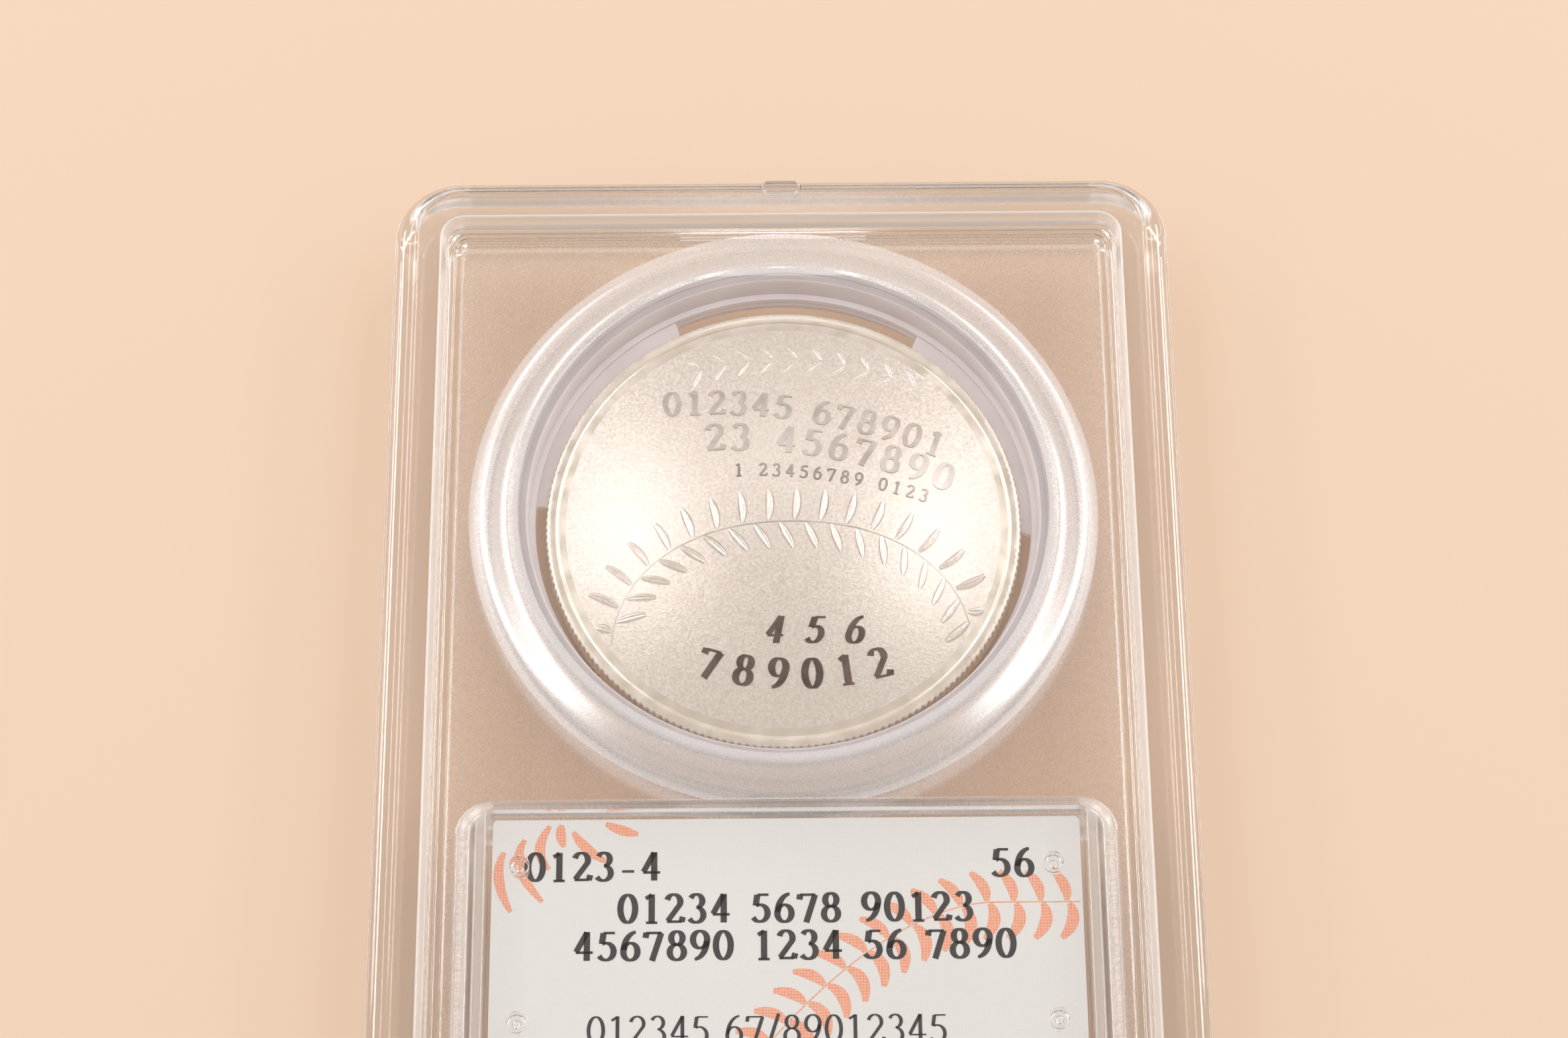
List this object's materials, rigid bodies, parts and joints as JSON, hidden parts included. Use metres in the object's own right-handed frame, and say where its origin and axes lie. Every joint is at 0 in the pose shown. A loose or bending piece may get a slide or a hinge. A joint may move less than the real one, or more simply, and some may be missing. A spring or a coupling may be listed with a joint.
{
  "type": "graded coin slab",
  "caption": "Flat clear coin holder of welded half shells with a round coin window, a label window, a pronged gasket ring, a domed coin and a label card.",
  "frame": {"origin": "centre of the flat back rim face that the slab lies on", "axes": "+Z out of the front windows, +Y towards the coin end, +X to the right seen from the front"},
  "size_m": [0.0636, 0.0826, 0.0079],
  "materials": {
    "clear_plastic": "clear moulded polystyrene, gloss on the rims and windows, frosted on the panels",
    "milky_plastic": "milky translucent soft plastic",
    "silver": "frosted silver with a polished rim",
    "card": "white printed card",
    "foil": "bright foil"
  },
  "bodies": {
    "root": {"front_shell": "clear_plastic", "back_shell": "clear_plastic", "coin_gasket": "milky_plastic", "coin": "silver", "label_card": "card", "security_seal": "foil"}
  },
  "joints": []
}
